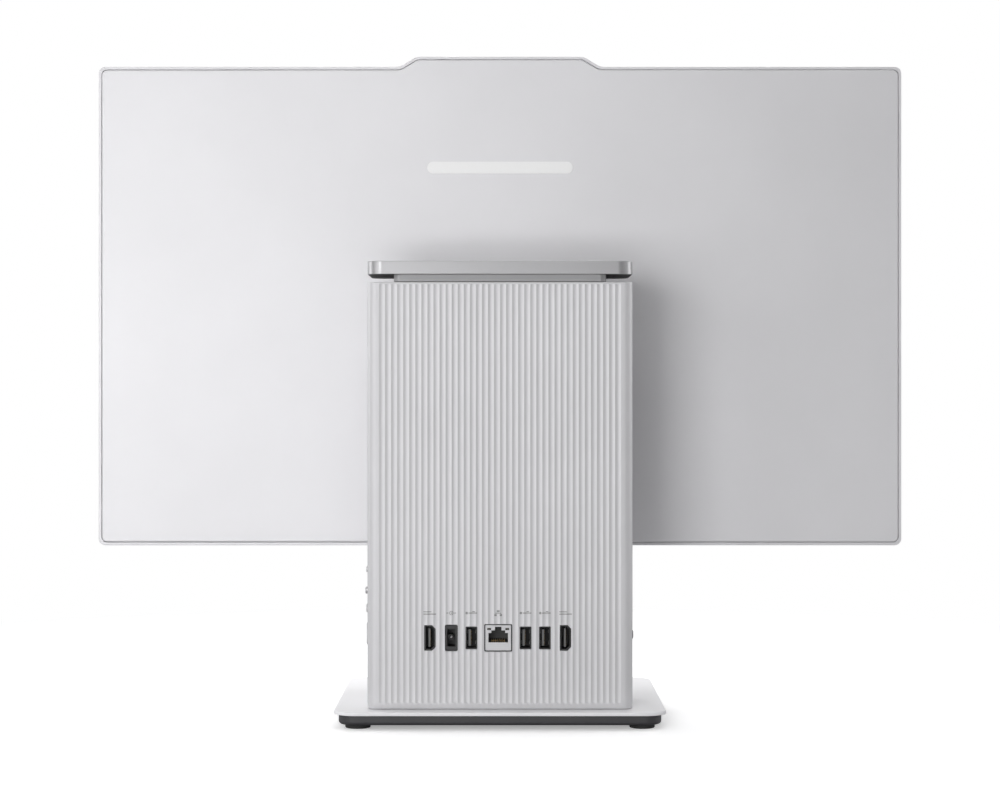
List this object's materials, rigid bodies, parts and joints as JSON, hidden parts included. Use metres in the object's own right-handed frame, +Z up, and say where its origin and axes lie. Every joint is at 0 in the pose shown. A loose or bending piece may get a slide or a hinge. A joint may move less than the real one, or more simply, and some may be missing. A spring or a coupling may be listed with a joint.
{
  "type": "all-in-one desktop computer",
  "caption": "Wide flat display tilting on a hinge in front of a vertically fluted rear tower that holds the computer, on a flat rectangular base with rubber feet.",
  "frame": {"origin": "centre of the base footprint, on the desk under the feet", "axes": "+Z up, -Y the way the screen faces, +Y the rear with the port row, +X the right hand of a person facing the screen"},
  "size_m": [0.541, 0.185, 0.4359],
  "materials": {
    "silver_shell": "satin",
    "silver_metal": "fine brushed",
    "light_plastic": "matt",
    "weight_metal": "matt graphite paint",
    "rubber": "matt",
    "sheet_steel": "zinc plated",
    "screen_glass": "gloss",
    "panel": "metal backed",
    "circuit_board": "solder mask",
    "chip": "satin",
    "copper": "bright",
    "fins": "bare",
    "black_plastic": "matt",
    "socket_metal": "nickel plated",
    "mark": "satin"
  },
  "bodies": {
    "stand": {"base_plate": "silver_metal", "base_tray": "weight_metal", "foot_fr": "rubber", "foot_fl": "rubber", "foot_rr": "rubber", "foot_rl": "rubber", "tower_front_shell": "light_plastic", "tower_rear_cover": "light_plastic", "tower_top_cap": "light_plastic", "tower_floor": "sheet_steel", "chassis_frame": "sheet_steel", "neck_block": "silver_metal", "top_plate": "silver_metal", "hinge_arm": "sheet_steel", "hinge_shaft": "sheet_steel", "port_video_a": "socket_metal", "port_video_b": "socket_metal", "port_usb_a": "socket_metal", "port_usb_b": "socket_metal", "port_usb_c": "socket_metal", "port_power_in": "black_plastic", "port_network": "socket_metal", "motherboard": "circuit_board", "cpu_package": "chip", "cold_plate": "copper", "memory_upper": "circuit_board", "memory_lower": "circuit_board", "solid_state_drive": "chip", "wireless_card": "circuit_board", "clock_battery": "sheet_steel", "heat_pipe": "copper", "fin_stack": "fins", "fan_housing": "black_plastic", "speaker_right": "black_plastic", "speaker_left": "black_plastic", "switch_board": "circuit_board", "side_port_board": "circuit_board", "port_side_small": "socket_metal", "port_audio": "black_plastic", "status_light": "mark"},
    "display": {"display_frame": "silver_metal", "display_back": "silver_shell", "front_glass": "screen_glass", "chin_cover": "silver_shell", "lcd_panel": "panel", "panel_edge_board": "circuit_board", "panel_driver_board": "circuit_board", "camera_bar": "black_plastic", "camera_module": "black_plastic", "display_bracket": "sheet_steel", "back_mark": "mark"},
    "shutter": {"camera_shutter": "black_plastic"},
    "rotor": {"fan_rotor": "black_plastic"},
    "power_key": {"power_button": "silver_shell"},
    "lower_key": {"key_lower": "silver_shell"},
    "menu_key": {"menu_stick": "silver_shell"},
    "upper_key": {"key_upper": "silver_shell"}
  },
  "joints": [
    {"name": "display_tilt", "type": "hinge", "parent": "stand", "child": "display", "pos_m": [0, -0.024, 0.283], "axis": [-1, 0, 0], "range_deg": [-5, 20]},
    {"name": "camera_shutter_slide", "type": "slide", "parent": "display", "child": "shutter", "axis": [-1, 0, 0], "range_m": [0, 0.008]},
    {"name": "fan_spin", "type": "hinge", "parent": "stand", "child": "rotor", "pos_m": [0, 0.031, 0.166], "axis": [0, 1, 0], "continuous": true},
    {"name": "power_press", "type": "slide", "parent": "stand", "child": "power_key", "axis": [-1, 0, 0], "range_m": [0, 0.0008], "stiffness_N_per_m": 1500, "springref_m": -0.0004},
    {"name": "lower_key_press", "type": "slide", "parent": "stand", "child": "lower_key", "axis": [-1, 0, 0], "range_m": [0, 0.0008], "stiffness_N_per_m": 1500, "springref_m": -0.0004},
    {"name": "menu_stick_press", "type": "slide", "parent": "stand", "child": "menu_key", "axis": [-1, 0, 0], "range_m": [0, 0.0008], "stiffness_N_per_m": 1500, "springref_m": -0.0004},
    {"name": "upper_key_press", "type": "slide", "parent": "stand", "child": "upper_key", "axis": [-1, 0, 0], "range_m": [0, 0.0008], "stiffness_N_per_m": 1500, "springref_m": -0.0004}
  ]
}
